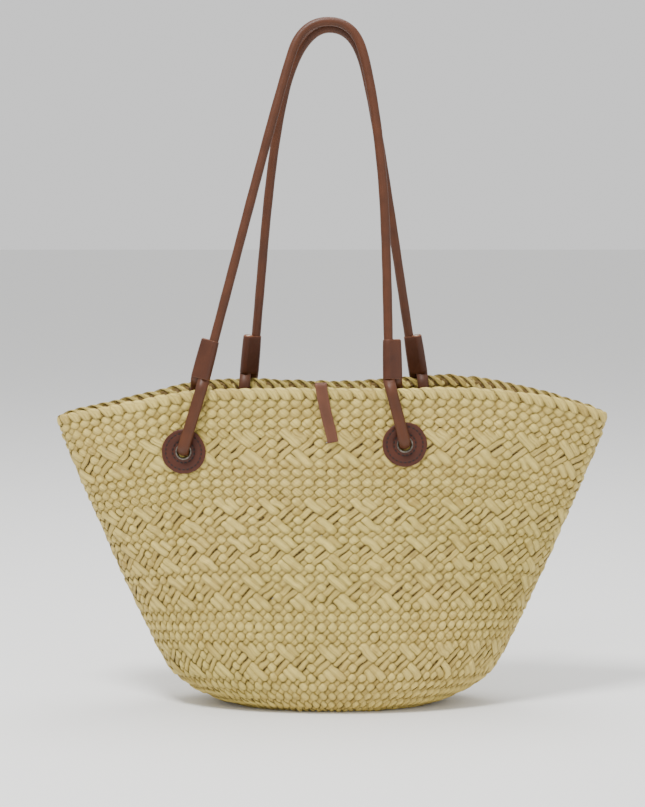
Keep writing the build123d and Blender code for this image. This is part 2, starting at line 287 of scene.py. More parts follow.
# ---------------------------------------------------------------- mesh helpers
def make_object(name, points, faces):
    """Smooth-shaded mesh object from points in millimetres."""
    mesh = bpy.data.meshes.new(name)
    mesh.from_pydata([tuple(p) for p in np.asarray(points) * MM], [], faces)
    mesh.update()
    mesh.polygons.foreach_set("use_smooth", [True] * len(mesh.polygons))
    obj = bpy.data.objects.new(name, mesh)
    bpy.context.scene.collection.objects.link(obj)
    return obj


def add_float(obj, name, values):
    """Attribute with one value for each vertex."""
    attribute = obj.data.attributes.new(name, "FLOAT", "POINT")
    attribute.data.foreach_set("value", np.asarray(values, dtype=np.float32).ravel())


def add_uv(obj, across, along):
    """UV map from one pair of values for each vertex."""
    layer = obj.data.uv_layers.new(name="UVMap")
    corner = np.empty(len(obj.data.loops), dtype=np.int32)
    obj.data.loops.foreach_get("vertex_index", corner)
    pairs = np.stack([np.ravel(across)[corner], np.ravel(along)[corner]], axis=1)
    layer.data.foreach_set("uv", pairs.astype(np.float32).ravel())


def loft_quads(rings, count, closed):
    """Faces between neighbouring rings of points; closed joins the last ring to the first."""
    here = np.arange(rings * count).reshape(rings, count)
    ahead = np.roll(here, -1, 0)
    if not closed:
        here = here[:-1]
        ahead = ahead[:-1]
    return np.stack([here, np.roll(here, -1, 1), np.roll(ahead, -1, 1), ahead], axis=-1).reshape(-1, 4)


def loft_object(name, points, material):
    """Closed ring of rings, from points [ring, round the ring]."""
    rings, count = points.shape[:2]
    obj = make_object(name, points.reshape(-1, 3), loft_quads(rings, count, closed=True).tolist())
    obj.data.materials.append(material)
    return obj


def bars_mesh(name, grid, tone, across, along):
    """Closed bars from a grid of points [bar, step, round the section]."""
    bars, steps, count = grid.shape[:3]
    first = np.arange(bars)[:, None] * steps * count
    quads = first[..., None] + loft_quads(steps, count, closed=False)
    near_caps = first + np.arange(count)[::-1]
    far_caps = first + (steps - 1) * count + np.arange(count)
    faces = quads.reshape(-1, 4).tolist() + near_caps.tolist() + far_caps.tolist()
    obj = make_object(name, grid.reshape(-1, 3), faces)
    add_float(obj, "tone", np.broadcast_to(tone, grid.shape[:3]))
    add_uv(obj, np.broadcast_to(across, grid.shape[:3]), np.broadcast_to(along, grid.shape[:3]))
    return obj


def smooth_path(points, rounds=4):
    """Corner cutting: a smooth line from a few points, through the first and the last."""
    line = np.asarray(points, dtype=float)
    for _ in range(rounds):
        cut = np.empty((2 * len(line) - 2, 3))
        cut[0::2] = 0.75 * line[:-1] + 0.25 * line[1:]
        cut[1::2] = 0.25 * line[:-1] + 0.75 * line[1:]
        line = np.concatenate([line[:1], cut, line[-1:]])
    return line


def even_path(line, step):
    """The same line with even steps."""
    along = np.concatenate([[0], np.cumsum(np.linalg.norm(np.diff(line, axis=0), axis=1))])
    at = np.linspace(0, along[-1], max(4, int(along[-1] / step) + 1))
    return np.stack([np.interp(at, along, line[:, k]) for k in range(3)], axis=1), at


def path_frames(line, first_side):
    """Two directions across a line, carried along it without twist."""
    ahead = np.gradient(line, axis=0)
    ahead /= np.linalg.norm(ahead, axis=1, keepdims=True)
    sides = []
    side = np.asarray(first_side, dtype=float)
    for direction in ahead:
        side = side - direction * side.dot(direction)
        side = side / np.linalg.norm(side)
        sides.append(side)
    sides = np.array(sides)
    return sides, np.cross(ahead, sides)


def seam_shape(turn, seam):
    """Share of a tube's radius at each angle round it: a pressed groove at the seam, with a lip beside it."""
    away = np.abs((turn - seam + np.pi) % TURN - np.pi)
    groove = 0.11 * np.exp(-((away / 0.14) ** 2))
    lip = 0.035 * np.exp(-(((away - 0.4) / 0.2) ** 2))
    return 1 - groove + lip


def tube(name, line, radius, first_side, material, bore=0.0, seam=None, step=2.0, wide=1.0, end_wear=0.0):
    """Bar along a line, or a tube if it has a bore, wider than thick where wide is over 1.

    A seam is the angle of its groove, and end_wear shows how pale the tube's cut end is.
    """
    line, at = even_path(np.asarray(line), step)
    side, other = path_frames(line, first_side)
    turn = np.linspace(0, TURN, TUBE_POINTS, endpoint=False)
    round_x = np.cos(turn)[None, :, None] * (side * wide)[:, None]
    round_y = np.sin(turn)[None, :, None] * (other * (2 - wide))[:, None]
    swell = radius * (1 + 0.012 * np.sin(at * 0.21) + 0.01 * np.sin(at * 0.083 + 1))
    shape = np.ones(TUBE_POINTS) if seam is None else seam_shape(turn, seam)
    points = line[:, None] + (swell[:, None] * shape)[..., None] * (round_x + round_y)
    wear = np.zeros((len(line), TUBE_POINTS))
    if bore:
        wear[-1] = end_wear
        inner = line[:, None] + bore * (round_x + round_y)
        points = np.concatenate([points, inner[::-1]])
        wear = np.concatenate([wear, wear[::-1]])
        at = np.concatenate([at, at[::-1]])
    rings = len(points)
    faces = loft_quads(rings, TUBE_POINTS, closed=bool(bore)).tolist()
    if not bore:
        last = (rings - 1) * TUBE_POINTS
        faces += [list(range(TUBE_POINTS))[::-1], list(range(last, last + TUBE_POINTS))]
    obj = make_object(name, points.reshape(-1, 3), faces)
    add_uv(obj, np.broadcast_to(turn / TURN, wear.shape), np.broadcast_to(at[:, None], wear.shape))
    add_float(obj, "edge", wear)
    obj.data.materials.append(material)
    return obj


# ---------------------------------------------------------------- materials
def new_material(name, roughness):
    """Material with its nodes, links and shader."""
    material = bpy.data.materials.new(name)
    material.use_nodes = True
    nodes = material.node_tree.nodes
    shader = nodes["Principled BSDF"]
    shader.inputs["Roughness"].default_value = roughness
    return material, nodes, material.node_tree.links, shader


def noise_node(nodes, links, vector, scale, detail=4.0, stretch=(1, 1, 1)):
    """Noise on a stretched coordinate."""
    mapping = nodes.new("ShaderNodeMapping")
    mapping.inputs["Scale"].default_value = stretch
    links.new(vector, mapping.inputs["Vector"])
    noise = nodes.new("ShaderNodeTexNoise")
    noise.inputs["Scale"].default_value = scale
    noise.inputs["Detail"].default_value = detail
    links.new(mapping.outputs["Vector"], noise.inputs["Vector"])
    return noise.outputs["Fac"]


def ramp_node(nodes, links, factor, stops):
    """Colour from a factor, through (place, colour) stops."""
    ramp = nodes.new("ShaderNodeValToRGB")
    elements = ramp.color_ramp.elements
    while len(elements) < len(stops):
        elements.new(0.5)
    for element, (place, colour) in zip(elements, stops):
        element.position = place
        element.color = (*colour, 1)
    links.new(factor, ramp.inputs["Fac"])
    return ramp.outputs["Color"]


def mix_colour(nodes, links, kind, factor, first, second):
    """Two colours mixed by a number or by another node."""
    mix = nodes.new("ShaderNodeMix")
    mix.data_type = "RGBA"
    mix.blend_type = kind
    if isinstance(factor, float):
        mix.inputs["Factor"].default_value = factor
    else:
        links.new(factor, mix.inputs["Factor"])
    links.new(first, mix.inputs["A"])
    links.new(second, mix.inputs["B"])
    return mix.outputs["Result"]


def bump_node(nodes, links, height, strength, distance, before=None):
    """Bumps from a height, on top of the bumps before."""
    bump = nodes.new("ShaderNodeBump")
    bump.inputs["Strength"].default_value = strength
    bump.inputs["Distance"].default_value = distance
    links.new(height, bump.inputs["Height"])
    if before is not None:
        links.new(before, bump.inputs["Normal"])
    return bump.outputs["Normal"]


def attribute_node(nodes, name):
    """Value of a mesh attribute."""
    node = nodes.new("ShaderNodeAttribute")
    node.attribute_name = name
    return node.outputs["Fac"]


def vary_roughness(nodes, links, shader, factor, low, high):
    """Roughness between two values, by a factor."""
    rough = nodes.new("ShaderNodeMapRange")
    rough.inputs["To Min"].default_value = low
    rough.inputs["To Max"].default_value = high
    links.new(factor, rough.inputs["Value"])
    links.new(rough.outputs["Result"], shader.inputs["Roughness"])


def straw_material(name, pale, deep, gap_shade):
    """Dried leaf: a tone for each strand, pleats, fibres and streaks along it, and painted shade, a dark
    brown, in the gaps where the deep attribute says.
    """
    material, nodes, links, shader = new_material(name, 0.58)
    uv = nodes.new("ShaderNodeUVMap").outputs["UV"]
    place = nodes.new("ShaderNodeTexCoord").outputs["Object"]
    tone = attribute_node(nodes, "tone")
    bright = tuple(min(1, c * 1.2) for c in pale)
    colour = ramp_node(nodes, links, tone, [(0.05, deep), (0.5, pale), (0.95, bright)])
    fibres = noise_node(nodes, links, uv, 1.0, 6.0, (26, 0.5, 1))
    streak = ramp_node(nodes, links, fibres, [(0.3, (0.6, 0.5, 0.3)), (0.48, (1, 1, 1)), (0.75, (1, 1, 1))])
    colour = mix_colour(nodes, links, "MULTIPLY", 0.65, colour, streak)
    cloud = noise_node(nodes, links, place, 9.0, 2.0)
    drift = ramp_node(nodes, links, cloud, [(0.35, (0.93, 0.95, 0.86)), (0.65, (1.0, 0.985, 0.95))])
    colour = mix_colour(nodes, links, "MULTIPLY", 0.8, colour, drift)
    # Painted shade: the deep attribute mixes the strand colour towards this dark brown in the gaps, where
    # shade falls between strands.
    painted_shade = nodes.new("ShaderNodeRGB")
    painted_shade.outputs[0].default_value = (*gap_shade, 1)
    colour = mix_colour(nodes, links, "MIX", attribute_node(nodes, "deep"), colour, painted_shade.outputs[0])
    links.new(colour, shader.inputs["Base Color"])
    vary_roughness(nodes, links, shader, fibres, 0.45, 0.72)
    pleats = noise_node(nodes, links, uv, 1.0, 3.0, (8, 1.4, 1))
    normal = bump_node(nodes, links, pleats, 0.9, 0.003)
    normal = bump_node(nodes, links, fibres, 0.8, 0.0012, normal)
    links.new(normal, shader.inputs["Normal"])
    return material


def leather_material(name, colour, worn, grain, roughness):
    """Leather: fine grain, soft blotches, and a paler worn edge where the edge attribute says."""
    material, nodes, links, shader = new_material(name, roughness)
    shader.inputs["Specular IOR Level"].default_value = 0.35
    place = nodes.new("ShaderNodeTexCoord").outputs["Object"]
    blotch = noise_node(nodes, links, place, 70.0)
    dark = tuple(c * 0.82 for c in colour)
    light = tuple(c * 1.16 for c in colour)
    base = ramp_node(nodes, links, blotch, [(0.3, dark), (0.55, colour), (0.78, light)])
    pale = ramp_node(nodes, links, blotch, [(0.3, tuple(c * 0.85 for c in worn)), (0.7, worn)])
    base = mix_colour(nodes, links, "MIX", attribute_node(nodes, "edge"), base, pale)
    links.new(base, shader.inputs["Base Color"])
    cells = nodes.new("ShaderNodeTexVoronoi")
    cells.feature = "SMOOTH_F1"
    cells.inputs["Scale"].default_value = grain
    links.new(place, cells.inputs["Vector"])
    fine = bump_node(nodes, links, cells.outputs["Distance"], 0.22, 0.0003)
    creases = noise_node(nodes, links, place, 260.0, 5.0)
    normal = bump_node(nodes, links, creases, 0.25, 0.0005, fine)
    links.new(normal, shader.inputs["Normal"])
    vary_roughness(nodes, links, shader, blotch, roughness - 0.1, roughness + 0.14)
    return material


def thread_material(name, colour):
    """Twisted thread or rope."""
    material, nodes, links, shader = new_material(name, 0.7)
    place = nodes.new("ShaderNodeTexCoord").outputs["Object"]
    strands = noise_node(nodes, links, place, 900.0, 3.0)
    base = ramp_node(nodes, links, strands, [(0.35, tuple(c * 0.6 for c in colour)), (0.65, colour)])
    links.new(base, shader.inputs["Base Color"])
    links.new(bump_node(nodes, links, strands, 0.5, 0.0004), shader.inputs["Normal"])
    return material


def metal_material():
    """Darkened eyelet metal, brighter where it rubs."""
    material, nodes, links, shader = new_material("eyelet_metal", 0.38)
    shader.inputs["Metallic"].default_value = 1.0
    place = nodes.new("ShaderNodeTexCoord").outputs["Object"]
    spots = noise_node(nodes, links, place, 420.0, 5.0)
    base = ramp_node(nodes, links, spots, [(0.35, (0.09, 0.08, 0.065)), (0.6, (0.24, 0.215, 0.18))])
    links.new(base, shader.inputs["Base Color"])
    links.new(bump_node(nodes, links, spots, 0.2, 0.0003), shader.inputs["Normal"])
    return material


# The third colour of each straw material is the painted shade for the gaps between strands.
STRAW = straw_material("straw", (0.63, 0.49, 0.135), (0.45, 0.32, 0.07), (0.15, 0.085, 0.012))
STRAW_LINK = straw_material("straw_link", (0.57, 0.43, 0.11), (0.39, 0.27, 0.055), (0.13, 0.07, 0.01))
HANDLE_LEATHER = leather_material(
    "handle_leather", colour=(0.074, 0.0205, 0.0055), worn=(0.18, 0.062, 0.024), grain=900.0, roughness=0.48
)
PATCH_LEATHER = leather_material(
    "patch_leather", colour=(0.056, 0.0115, 0.003), worn=(0.09, 0.022, 0.008), grain=1100.0, roughness=0.5
)
SLEEVE_LEATHER = leather_material(
    "sleeve_leather", colour=(0.062, 0.0158, 0.0043), worn=(0.26, 0.1, 0.05), grain=1000.0, roughness=0.45
)
TIE_LEATHER = leather_material(
    "tie_leather", colour=(0.105, 0.0365, 0.0175), worn=(0.16, 0.06, 0.03), grain=1300.0, roughness=0.6
)
THREAD = thread_material("thread", (0.005, 0.002, 0.0012))
ROPE = thread_material("rope_core", (0.78, 0.72, 0.6))
METAL = metal_material()


# ---------------------------------------------------------------- plait
def section_angles(count):
    """Angles of the points round a strand's section, with none on its edges."""
    return np.linspace(0, TURN, count, endpoint=False) + np.pi / count


def strand_on_top(a, b):
    """True where the wide strand a lies over the narrow strand b: plain rows with patterned bands."""
    row = b - a
    top = row % 2 == 0
    for start, origin in MOTIFS:
        inside = (row >= start) & (row <= start + MOTIF_ROWS)
        p = (a - origin) % 4
        q = row - start + p
        pattern = (q < 3) | (q > 6) | (p + q == 6)
        top = np.where(inside, pattern, top)
    return top


def crossing_values(strand, rows, kind):
    """Over or under (1, -1), and the half-width in strand spacings, for each strand at each crossing."""
    if kind == "wide":
        a = strand[:, None]
        b = a + rows
        top = strand_on_top(a, b)
        beside = strand_on_top(a - 1, b).astype(int) + strand_on_top(a + 1, b)
    else:
        b = strand[:, None]
        a = b - rows
        top = ~strand_on_top(a, b)
        beside = (~strand_on_top(a, b - 1)).astype(int) + ~strand_on_top(a, b + 1)
    over, change, under = KINDS[kind]["reach"]
    return np.where(top, 1.0, -1.0), np.where(top, over + change * beside, under)


def plait_strands(kind, group):
    """One group of strands of one direction, as closed bars that go over and under."""
    style = KINDS[kind]
    per_group = STRANDS // GROUPS
    strand = np.arange(group * per_group, (group + 1) * per_group)
    rows = np.arange(FIRST_CROSSING, LAST_CROSSING + 1)
    over, width = crossing_values(strand, rows, kind)
    at = np.linspace(0, len(rows) - 1, (len(rows) - 1) * STEPS + 1)
    i = np.clip(at.astype(int), 0, len(rows) - 2)
    ease = np.clip((at - i - 0.14) / 0.72, 0, 1)
    ease = ease * ease * (3 - 2 * ease)

    def between(values):
        """Values at the mesh steps, eased from each crossing to the next."""
        return values[:, i] * (1 - ease) + values[:, i + 1] * ease

    wobble = between(rng.normal(0, WOBBLE, over.shape))
    thick = between(np.clip(rng.normal(1, UNEVEN, over.shape), 0.7, 1.3))
    height = between(over)[..., None]
    reach = between(width) * (1 + 0.5 * (thick - 1))
    turn = section_angles(style["points"])
    offset = reach[..., None] * np.sign(np.cos(turn)) * np.abs(np.cos(turn)) ** 0.8
    if kind == "wide":
        a = (strand[:, None] + wobble)[..., None] + offset
        b = (strand[:, None] + (FIRST_CROSSING + at))[..., None]
    else:
        a = (strand[:, None] - (FIRST_CROSSING + at))[..., None]
        b = (strand[:, None] + wobble)[..., None] + offset
    row = b - a
    drop = FIRST_ROW + ROW * row + ROW_WAVE * np.sin(row * TURN / ROW_WAVE_ROWS)
    point, normal = wall_frame((a + b) / (2 * STRANDS), drop, -WALL / 2)

    half_thick = style["thick"] * thick[..., None]
    bulge = half_thick * np.sign(np.sin(turn)) * np.abs(np.sin(turn)) ** 0.6
    phase = rng.uniform(0, TURN, (len(strand), 1, 1))
    fold = PLEAT * np.sin(turn * 3 + phase + 0.8 * np.sin(at[None, :, None] * 0.9 + phase)) * half_thick
    out = OVER * style["over"] * height + bulge + fold

    tones = np.clip(0.5 + rng.normal(0, TONE_SPREAD, over.shape), 0, 1)
    tone = (0.4 * tones[:, :1] + 0.6 * tones)[:, i][..., None]
    grid = point + normal * out[..., None]
    name = f"plait_{kind}_{group + 1}"
    obj = bars_mesh(name, grid, tone, (turn / TURN)[None, None], (at / 3)[None, :, None])
    # Painted shade: the deep attribute darkens a strand where it dives under the crossing strand and along
    # its side edges, where shade falls in the weave.
    tucked_shade = np.clip(-height * np.sign(np.sin(turn)), 0, 1)
    sides = np.abs(np.cos(turn)) ** 2
    add_float(obj, "deep", np.clip(0.8 * tucked_shade + 0.55 * sides, 0, 1))
    obj.data.materials.append(STRAW if kind == "wide" else STRAW_LINK)
    return obj


def mat_chords(direction, across, width, depth):
    """Strips of one direction that cross an ellipse: number, start, and the two ends along the direction."""
    count = int(2 * (width + depth) / MAT_SPACING)
    chords = []
    for k in range(-count // 2, count // 2 + 1):
        start = across * MAT_SPACING * k
        square = (direction[0] / width) ** 2 + (direction[1] / depth) ** 2
        linear = 2 * (start[0] * direction[0] / width**2 + start[1] * direction[1] / depth**2)
        constant = (start[0] / width) ** 2 + (start[1] / depth) ** 2 - 1
        inside = linear**2 - 4 * square * constant
        if inside <= 0:
            continue
        low = (-linear - math.sqrt(inside)) / (2 * square)
        high = (-linear + math.sqrt(inside)) / (2 * square)
        if high - low > 4:
            chords.append((k, start, low, high))
    return chords


def base_mat():
    """Plain diagonal mat that closes the bottom, inside the last rows of the walls."""
    width = half_width(np.array(0.0)) - MAT_INSET
    depth = half_depth(np.array(0.0)) - MAT_INSET
    turn = section_angles(SECTION)
    pieces = []
    for family, lean in enumerate((1, -1)):
        direction = np.array([math.cos(MAT_LEAN), lean * math.sin(MAT_LEAN)])
        across = np.array([-direction[1], direction[0]])
        chords = mat_chords(direction, across, width, depth)
        grid = np.zeros((len(chords), MAT_STEPS, SECTION, 3))
        for n, (k, start, low, high) in enumerate(chords):
            s = np.linspace(low, high, MAT_STEPS)
            phase = np.pi * (s / (MAT_SPACING * 1.02) + k + family)
            height = MAT_LIFT * np.cos(phase) * lean
            centre = start[None] + s[:, None] * direction[None]
            flat = centre[:, None] + (0.46 * MAT_SPACING * np.cos(turn))[None, :, None] * across[None, None]
            up = SOLE + height[:, None] + MAT_THICK * np.sin(turn)[None]
            grid[n] = np.concatenate([flat, up[..., None]], axis=-1)
        tone = np.clip(0.45 + rng.normal(0, 0.12, len(chords)), 0, 1)[:, None, None]
        along = np.linspace(0, 8, MAT_STEPS)[None, :, None]
        obj = bars_mesh(f"base_mat_{family + 1}", grid, tone, (turn / TURN)[None, None], along)
        # Painted shade: the deep attribute darkens the edges of each strip, where shade falls between strips.
        add_float(obj, "deep", np.broadcast_to(0.5 * np.abs(np.cos(turn)) ** 3, grid.shape[:3]))
        obj.data.materials.append(STRAW if family == 0 else STRAW_LINK)
        pieces.append(obj)
    return pieces


def braid_leaves():
    """Leaf ends folded over the top edge, each slanting and tucked under the next."""
    s = np.linspace(0, 1, LEAF_STEPS)
    turn = section_angles(LEAF_POINTS)
    bend = np.pi * (1.12 * s - 0.06)
    outward = -np.cos(bend)[:, None]
    upward = np.clip(np.sin(bend), 0, None)
    half_width_along = np.interp(s, [0, 0.2, 0.5, 0.78, 0.93, 1], [0.2, 0.36, 0.36, 0.5, 0.4, 0.16])
    puff = np.interp(s, [0, 0.5, 0.8, 1], [0.9, 1.0, 1.5, 0.7])[:, None] * np.sin(turn)[None]
    grid = np.zeros((STRANDS, LEAF_STEPS, LEAF_POINTS, 3))
    for k in range(STRANDS):
        column = k + 0.5 + rng.normal(0, 0.06) + 2.0 * (s - 0.5)
        drop = LEAF_FOOT - (LEAF_RISE + rng.normal(0, 0.35)) * upward**0.75
        half = half_width_along * (1 + rng.normal(0, 0.07))
        across = half[:, None] * np.cos(turn)[None]
        around = (column[:, None] + across) / STRANDS
        down = drop[:, None] - LEAF_SLANT * across
        middle, normal = wall_frame(around, np.maximum(down, -1.0), -WALL / 2)
        out = (LEAF_REACH + puff) * outward
        grid[k] = middle + normal * out[..., None]
        grid[k][..., 2] += puff * upward[:, None]
    tone = np.clip(0.52 + rng.normal(0, 0.15, STRANDS), 0, 1)[:, None, None]
    leaves = bars_mesh("rim_braid_leaves", grid, tone, (turn / TURN)[None, None], (s * 3)[None, :, None])
    # Painted shade: the deep attribute darkens the side edges of each leaf, where shade falls between leaves.
    add_float(leaves, "deep", np.broadcast_to(0.55 * np.abs(np.cos(turn)) ** 3, grid.shape[:3]))
    leaves.data.materials.append(STRAW)
    return leaves


def braid_core():
    """Hidden roll under the leaves, all the way round."""
    turn = section_angles(LEAF_POINTS)
    ring = np.linspace(0, 1, 4 * STRANDS, endpoint=False)[:, None]
    wave = 0.35 * np.sin(ring * STRANDS * TURN)
    drop = 6.6 - (4.2 + wave) * np.sin(turn)[None]
    middle, normal = wall_frame(np.broadcast_to(ring, drop.shape), drop, -WALL / 2)
    roll = middle + normal * ((1.7 + wave) * np.cos(turn)[None])[..., None]
    core = loft_object("rim_braid_core", roll, STRAW_LINK)
    # Painted shade: the hidden roll gets a low tone and deep 0.9, so it is painted almost all in the dark gap
    # brown, as shade under the leaves.
    add_float(core, "tone", np.full(drop.size, 0.2))
    add_float(core, "deep", np.full(drop.size, 0.9))
    add_uv(core, np.broadcast_to(turn / TURN, drop.shape), np.broadcast_to(ring * 200, drop.shape))
    return core


# ---------------------------------------------------------------- leather patches and eyelets
def anchor_frame(name):
    """Centre on the outer surface, two directions along the wall and the outward normal."""
    x, z = ANCHORS[name]
    side = -1 if name.startswith("front") else 1
    step = 1.0
    across = np.array([2 * step, side * (wall_depth(x + step, z) - wall_depth(x - step, z)), 0])
    upward = np.array([0, side * (wall_depth(x, z + step) - wall_depth(x, z - step)), 2 * step])
    across = across / np.linalg.norm(across)
    normal = np.cross(across, upward) * (1 if side < 0 else -1)
    normal = normal / np.linalg.norm(normal)
    upward = np.cross(normal, across)
    return np.array([x, side * wall_depth(x, z), z], float), across, upward, normal, side


def patch_point(name, radius, angle, level):
    """Point of a patch that follows the curved wall."""
    centre, across, upward, normal, side = anchor_frame(name)
    flat = centre + radius[..., None] * (
        np.cos(angle)[..., None] * across + np.sin(angle)[..., None] * upward
    )
    on_wall = side * wall_depth(flat[..., 0], flat[..., 2])
    sunk = (on_wall - flat[..., 1]) * normal[1]  # how far the wall falls away behind the flat patch
    return flat + normal * (level + np.clip(sunk, -3, 0))[..., None]


def patch_profile():
    """Radius and height above the patch's back: over the face with its grooves, then along the back."""
    thickness = PATCH_TOP - PATCH_LOW
    face = [6.4, 7.6, 9.2, 9.9, 10.6, 11.4, 12.6, 14.2, 15.4, 16.2, 17.0, 17.8, 18.8, 19.5, 19.9]
    profile = [(6.2, thickness - 0.4)]
    for r in [*face, PATCH_RADIUS]:
        groove = sum(GROOVE_DEPTH * math.exp(-(((r - ring) / 0.7) ** 2)) for ring, _ in STITCH_RINGS)
        bevel = 0.5 * max(0, r - (PATCH_RADIUS - 1)) ** 2
        profile.append((r, thickness - groove - bevel + 0.12 * math.sin(r * 0.5)))
    profile += [(PATCH_RADIUS, 0.45), (19.6, 0.0), (14.0, 0.0), (6.2, 0.0)]
    return np.array(profile)


def leather_patch(name, piece, inner):
    """Round patch with pressed stitch grooves, a bevelled edge and a slight dome round the eyelet."""
    profile = patch_profile()
    radii = profile[:, :1]
    angle = np.linspace(0, TURN, PATCH_SEGMENTS, endpoint=False)
    ragged = 1 + 0.008 * np.sin(angle * 3 + len(piece)) + 0.006 * np.sin(angle * 7 + 1)
    radius = radii * np.where(radii > 12, ragged, 1.0)
    height = profile[:, 1:] * np.ones(PATCH_SEGMENTS)
    level = -WALL - PATCH_LOW - height if inner else PATCH_LOW + height
    points = patch_point(name, radius, np.broadcast_to(angle, radius.shape), level)
    if not inner:
        points = points[::-1]
        radii = radii[::-1]
    obj = loft_object(piece, points, PATCH_LEATHER)
    wear = np.clip((radii - 19.2) / 0.8, 0, 1) * np.ones(PATCH_SEGMENTS)
    add_float(obj, "edge", wear)
    return obj


def stitches(name, piece):
    """Thread stitches in the grooves of the outer patch and of the inner one."""
    section = 6
    turn = np.linspace(0, TURN, section, endpoint=False)
    profile = ((-1.0, 0.15), (-0.8, 0.75), (-0.3, 1.0), (0.3, 1.0), (0.8, 0.75), (1.0, 0.15))
    face = PATCH_TOP - STITCH_SINK
    grids = []
    for level, sign in ((face, 1), (-WALL - face, -1)):
        for ring, count in STITCH_RINGS:
            for k in range(count):
                middle = TURN * (k + 0.5 * sign) / count
                grid = np.zeros((len(profile), section, 3))
                for n, (place, fat) in enumerate(profile):
                    angle = middle + place * STITCH_HALF / ring
                    radius = ring + STITCH_RADIUS * fat * np.cos(turn)
                    lift = level + sign * STITCH_HIGH * fat * np.sin(turn)
                    grid[n] = patch_point(name, radius, np.full(section, angle), lift)
                grids.append(grid)
    obj = bars_mesh(piece, np.array(grids), 0.5, (turn / TURN)[None, None], np.zeros((1, 1, 1)))
    obj.data.materials.append(THREAD)
    return obj


def lathe(name, piece, profile):
    """Metal ring turned round an anchor's normal from (radius, level) points of a closed outline."""
    centre, across, upward, normal, _ = anchor_frame(name)
    angle = np.linspace(0, TURN, EYELET_SEGMENTS, endpoint=False)[:, None]
    ring = np.cos(angle) * across + np.sin(angle) * upward
    points = np.array([centre + radius * ring + normal * level for radius, level in profile])
    return loft_object(piece, points, METAL)


def rolled_ring(hole, rim, base, sign):
    """Outline of a rounded flange, as (radius, level) points."""
    width = (rim - hole) / 2
    centre = (rim + hole) / 2
    return [
        (centre + width * math.cos(t), base + sign * FLANGE_RISE * max(0.0, math.sin(t)))
        for t in np.linspace(0, math.pi, 9)
    ]


def eyelet(name):
    """Barrel with its rolled flange outside, and the ring that it is set on inside."""
    top = PATCH_TOP - 0.1
    bottom = -WALL - PATCH_TOP
    flange = rolled_ring(EYELET_HOLE, FLANGE_RADIUS, top, 1)
    barrel = [
        (EYELET_HOLE, bottom - 0.5),
        (EYELET_HOLE + EYELET_WALL - 0.05, bottom - 0.5),
        (EYELET_HOLE + EYELET_WALL, top - 0.1),
    ]
    ring = lathe(name, f"{name}_eyelet_ring", flange + barrel)
    washer = rolled_ring(EYELET_HOLE + EYELET_WALL, FLANGE_RADIUS, bottom + 0.1, -1)
    back = lathe(name, f"{name}_eyelet_back", washer + [(FLANGE_RADIUS - 0.9, bottom + 0.3)])
    return ring, back


# ---------------------------------------------------------------- handles
def handle_frame(side, legs):
    """Origin on the rim, and the three directions of a handle's leaning plane."""
    sleeve_x = (abs(legs[0][0]) + abs(legs[-1][0])) / 2
    foot = float(wall_depth(sleeve_x, RIM_HEIGHT)) - WALL / 2 + SPACING * math.sin(TWIST) / 2
    top = TUBE + HANDLE_GAP / 2
    rise = max(height for _, height in legs)
    lean = math.asin((foot - top) / rise)
    upward = np.array([0, -side * math.sin(lean), math.cos(lean)])
    normal = np.array([0, -math.cos(lean), -side * math.sin(lean)])
    return np.array([0, side * foot, RIM_HEIGHT]), upward, normal


def handle_point(plane, x, height):
    """Point of a handle's leaning plane, from X and the height above the rim."""
    origin, upward, _ = plane
    return origin + np.array([x, 0, 0]) + upward * height


def leg_foot(plane, side, foot, knee, outward):
    """Lower end, direction up the leg, and the direction from the leg to its returning end."""
    low = handle_point(plane, *foot)
    up = handle_point(plane, *knee) - low
    up = up / np.linalg.norm(up)
    beside = np.cross(up, plane[2]) * outward
    across = beside * math.cos(TWIST) + plane[2] * side * math.sin(TWIST)
    return low, up, across


def lobe_outline(radius, half, waist):
    """Outline round two strands side by side, drawn in a little between them."""
    outline = []
    for t in np.linspace(0, TURN, 2 * TUBE_POINTS, endpoint=False):
        x = math.cos(t)
        y = math.sin(t)
        shift = half * (1 if x > 0 else -1) * min(1.0, abs(x) * 6)
        pinch = waist * math.exp(-((x / 0.22) ** 2))
        outline.append((shift + radius * x, (radius - pinch) * y))
    return outline


def sleeve(piece, low, up, across):
    """Leather sleeve pressed round the two strands, open at both ends, with pale cut edges."""
    normal = np.cross(up, across)
    middle = low + across * SPACING / 2
    outer = lobe_outline(TUBE + SLEEVE_FIT + SLEEVE_WALL, SPACING / 2, waist=0.75)
    inner = lobe_outline(TUBE + SLEEVE_FIT, SPACING / 2, waist=0.35)
    heights = [0.0, 0.4, 2.5, 8.0, 16.0, 24.0, 31.0, SLEEVE_LENGTH - 0.4, SLEEVE_LENGTH]
    rings = []
    wear = []
    for outline, levels in ((outer, heights), (inner, heights[::-1])):
        for height in levels:
            at_end = height in (0.0, SLEEVE_LENGTH)
            swell = 1.03 - 0.07 * (height / SLEEVE_LENGTH) ** 3 - (0.02 if at_end else 0)
            rings.append([middle + up * height + (across * x + normal * y) * swell for x, y in outline])
            wear.append([0.9 if at_end else 0.0] * len(outline))
    obj = loft_object(piece, np.array(rings), SLEEVE_LEATHER)
    add_float(obj, "edge", wear)
    return obj


